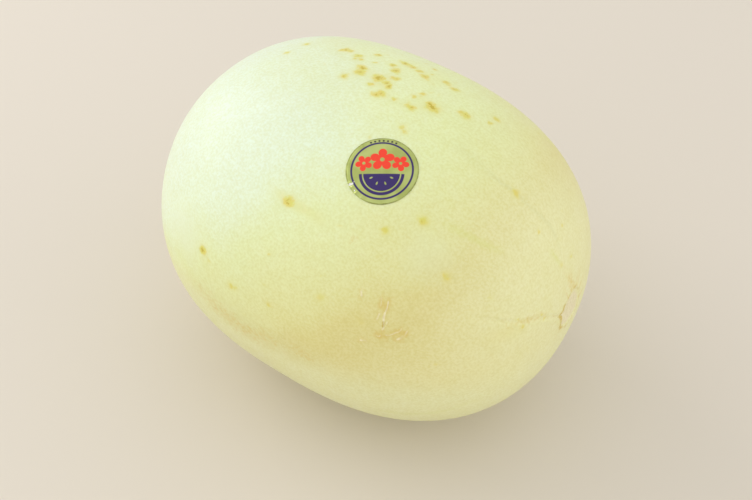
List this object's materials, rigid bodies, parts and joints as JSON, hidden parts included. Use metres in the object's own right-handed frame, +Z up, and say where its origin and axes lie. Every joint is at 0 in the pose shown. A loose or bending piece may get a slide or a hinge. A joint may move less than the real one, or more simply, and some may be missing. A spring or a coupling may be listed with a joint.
{
  "type": "muskmelon",
  "caption": "Whole smooth pale-skinned muskmelon lying on its side, with a corky blossom scar, a hollow stem end and a round foil sticker.",
  "frame": {"origin": "middle of the small flat spot that the melon rests on", "axes": "+X along the long axis towards the blossom end, +Z up, the sticker and the corky cracks on the side of -Y"},
  "size_m": [0.1595, 0.1274, 0.1267],
  "materials": {
    "melon_skin": "waxy satin",
    "label_foil": "printed foil, half gloss"
  },
  "bodies": {
    "root": {"melon": "melon_skin", "fruit_label": "label_foil"}
  },
  "joints": []
}
